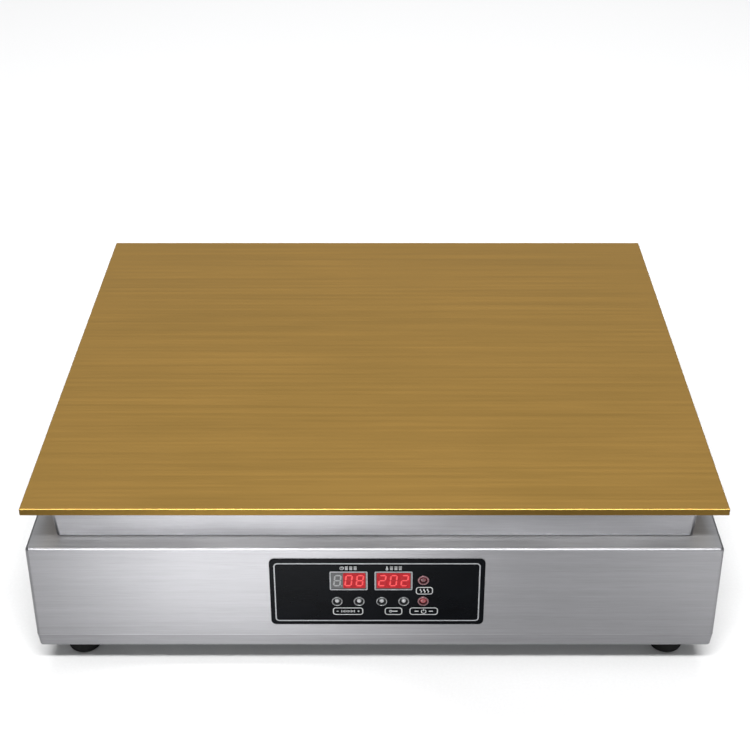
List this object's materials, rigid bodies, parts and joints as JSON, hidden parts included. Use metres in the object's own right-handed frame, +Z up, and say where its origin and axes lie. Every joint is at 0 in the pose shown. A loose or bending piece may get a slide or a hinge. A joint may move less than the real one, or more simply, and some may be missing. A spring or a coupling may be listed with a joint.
{
  "type": "electric griddle",
  "caption": "Table-top electric griddle: flat brass-coloured plate on a stainless heater housing and body, with digital display panel, push buttons and rubber feet.",
  "frame": {"origin": "middle of the footprint, on the surface that the feet stand on", "axes": "+X to the user's right along the width, +Y from the control panel to the back, +Z up"},
  "size_m": [0.45, 0.4057, 0.129],
  "materials": {
    "brass_plate": "satin",
    "stainless_sheet": "brushed",
    "galvanised_sheet": "matte",
    "plated_steel": "satin",
    "element_sheath": "satin",
    "ceramic_fibre": "matte",
    "black_rubber": "matte",
    "panel_black": "gloss",
    "display_module": "satin",
    "button_white": "gloss",
    "bezel_grey": "satin",
    "lamp_red": "gloss",
    "switch_black": "satin",
    "circuit_board": "satin",
    "white_nylon": "matte",
    "relay_case": "satin",
    "transformer_core": "matte",
    "lead_insulation": "satin",
    "ribbon_grey": "satin"
  },
  "bodies": {
    "griddle": {"base_nuts": "plated_steel", "base_pan": "galvanised_sheet", "base_screws": "plated_steel", "board_nuts": "plated_steel", "board_pillars": "white_nylon", "board_spacers": "white_nylon", "body_shell": "stainless_sheet", "button_bezel_temperature_down": "bezel_grey", "button_bezel_temperature_up": "bezel_grey", "button_bezel_time_down": "bezel_grey", "button_bezel_time_up": "bezel_grey", "clamp_bar_left": "plated_steel", "clamp_bar_middle": "plated_steel", "clamp_bar_right": "plated_steel", "control_board": "circuit_board", "control_panel_overlay": "panel_black", "cord_bushing": "switch_black", "display_temperature": "display_module", "display_time": "display_module", "earth_stud": "plated_steel", "foot_front_left": "black_rubber", "foot_front_right": "black_rubber", "foot_nuts": "plated_steel", "foot_rear_left": "black_rubber", "foot_rear_right": "black_rubber", "foot_screws": "plated_steel", "griddle_plate": "brass_plate", "heat_shield_tray": "galvanised_sheet", "heater_housing": "stainless_sheet", "heater_leads": "lead_insulation", "heating_element_front": "element_sheath", "heating_element_middle": "element_sheath", "heating_element_rear": "element_sheath", "housing_nuts": "plated_steel", "housing_screws": "plated_steel", "indicator_lamp_heating": "lamp_red", "indicator_lamp_power": "lamp_red", "insulation_blanket": "ceramic_fibre", "lamp_bezel_heating": "bezel_grey", "lamp_bezel_power": "bezel_grey", "mains_leads": "lead_insulation", "overheat_cutout": "plated_steel", "panel_ribbon": "ribbon_grey", "plate_nuts": "plated_steel", "plate_studs": "plated_steel", "power_board": "circuit_board", "power_switch_housing": "switch_black", "relay": "relay_case", "tact_switch_temperature_down": "switch_black", "tact_switch_temperature_up": "switch_black", "tact_switch_time_down": "switch_black", "tact_switch_time_up": "switch_black", "temperature_probe": "plated_steel", "terminal_block": "white_nylon", "transformer": "transformer_core"},
    "button_time_down": {"button_time_down": "button_white"},
    "button_time_up": {"button_time_up": "button_white"},
    "button_temperature_down": {"button_temperature_down": "button_white"},
    "button_temperature_up": {"button_temperature_up": "button_white"},
    "rocker": {"power_switch_rocker": "switch_black"}
  },
  "joints": [
    {"name": "button_time_down_press", "type": "slide", "parent": "griddle", "child": "button_time_down", "axis": [0, 1, 0], "range_m": [0, 0.0005], "stiffness_N_per_m": 800},
    {"name": "button_time_up_press", "type": "slide", "parent": "griddle", "child": "button_time_up", "axis": [0, 1, 0], "range_m": [0, 0.0005], "stiffness_N_per_m": 800},
    {"name": "button_temperature_down_press", "type": "slide", "parent": "griddle", "child": "button_temperature_down", "axis": [0, 1, 0], "range_m": [0, 0.0005], "stiffness_N_per_m": 800},
    {"name": "button_temperature_up_press", "type": "slide", "parent": "griddle", "child": "button_temperature_up", "axis": [0, 1, 0], "range_m": [0, 0.0005], "stiffness_N_per_m": 800},
    {"name": "rocker_tip", "type": "hinge", "parent": "griddle", "child": "rocker", "pos_m": [-0.08, 0.1985, 0.057], "axis": [1, 0, 0], "range_deg": [0, 20]}
  ]
}
